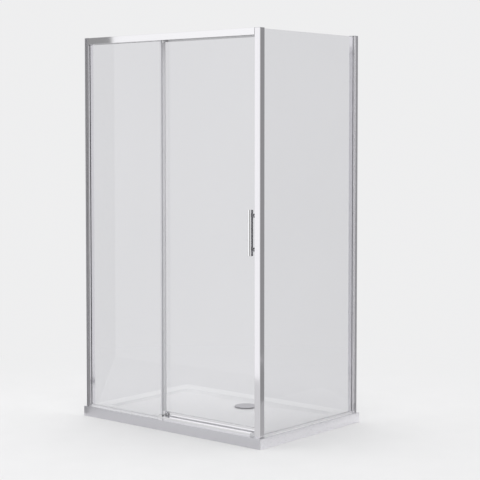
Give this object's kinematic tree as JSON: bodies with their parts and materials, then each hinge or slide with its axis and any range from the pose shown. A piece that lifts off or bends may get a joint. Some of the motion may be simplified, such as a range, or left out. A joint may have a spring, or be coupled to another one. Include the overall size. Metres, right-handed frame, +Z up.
{
  "type": "shower enclosure with sliding door",
  "caption": "Corner shower enclosure on a low white tray: fixed front pane, sliding glass door hung on rollers in a top rail, square corner post and glass side panel.",
  "frame": {"origin": "middle of the tray's footprint on the floor", "axes": "+Z up, +X along the front from the left wall to the corner post, +Y from the front to the rear wall"},
  "size_m": [1.2, 0.8, 1.975],
  "materials": {
    "white_tray": "satin gel coat on stone resin",
    "satin_aluminium": "satin anodised",
    "bright_aluminium": "bright anodised",
    "chrome": "polished",
    "steel": "stainless",
    "glass": "clear toughened",
    "clear_seal": "translucent",
    "grey_plastic": "moulded",
    "white_plastic": "moulded",
    "dark_plastic": "moulded",
    "black_rubber": "matte",
    "bronze": "sintered"
  },
  "bodies": {
    "frame": {"shower_tray": "white_tray", "front_fascia": "satin_aluminium", "side_fascia": "satin_aluminium", "left_wall_channel": "satin_aluminium", "rear_wall_channel": "satin_aluminium", "threshold_rail": "satin_aluminium", "header_brackets": "satin_aluminium", "track_stops": "satin_aluminium", "left_jamb": "bright_aluminium", "rear_jamb": "bright_aluminium", "corner_post": "bright_aluminium", "header_rail": "bright_aluminium", "rear_track_rail": "bright_aluminium", "header_cover": "bright_aluminium", "header_end_caps": "bright_aluminium", "guide_bracket": "chrome", "left_jamb_screws": "steel", "rear_jamb_screws": "steel", "header_screws": "steel", "stop_screws": "steel", "guide_screws": "steel", "waste_strainer": "steel", "fixed_glass": "glass", "side_glass": "glass", "fixed_bottom_seal": "clear_seal", "side_bottom_seal": "clear_seal", "fixed_edge_seal": "clear_seal", "post_magnetic_strip": "clear_seal", "left_profile_cap": "grey_plastic", "rear_profile_cap": "grey_plastic", "corner_post_cap": "grey_plastic", "threshold_end_caps": "grey_plastic", "drain_cover": "grey_plastic", "waste_body": "white_plastic", "waste_lock_nut": "white_plastic", "guide_pads": "dark_plastic", "header_gasket": "black_rubber", "left_glass_gasket": "black_rubber", "rear_glass_gasket": "black_rubber", "side_post_gasket": "black_rubber", "stop_buffers": "black_rubber", "waste_seal_ring": "black_rubber"},
    "door": {"door_glass": "glass", "door_top_profile": "bright_aluminium", "door_bottom_profile": "bright_aluminium", "door_wiper_seal": "clear_seal", "door_rear_seal": "clear_seal", "door_magnetic_seal": "clear_seal", "outer_handle": "chrome", "inner_handle": "chrome", "handle_studs": "steel", "handle_washers": "chrome", "left_carriage": "grey_plastic", "right_carriage": "grey_plastic", "carriage_screws": "steel", "roller_axles": "steel"},
    "left_rollers": {"left_roller_wheels": "white_plastic", "left_roller_bearings": "bronze"},
    "right_rollers": {"right_roller_wheels": "white_plastic", "right_roller_bearings": "bronze"}
  },
  "joints": [
    {"name": "door_slide", "type": "slide", "parent": "frame", "child": "door", "axis": [-1, 0, 0], "range_m": [0, 0.48]},
    {"name": "left_roller_spin", "type": "hinge", "parent": "door", "child": "left_rollers", "pos_m": [-0.007, -0.345, 1.9553], "axis": [0, 1, 0], "continuous": true},
    {"name": "right_roller_spin", "type": "hinge", "parent": "door", "child": "right_rollers", "pos_m": [0.478, -0.345, 1.9553], "axis": [0, 1, 0], "continuous": true}
  ],
  "couplings": [
    {"joint": "left_roller_spin", "follows": "door_slide", "rad_per_m": -100},
    {"joint": "right_roller_spin", "follows": "door_slide", "rad_per_m": -100}
  ]
}
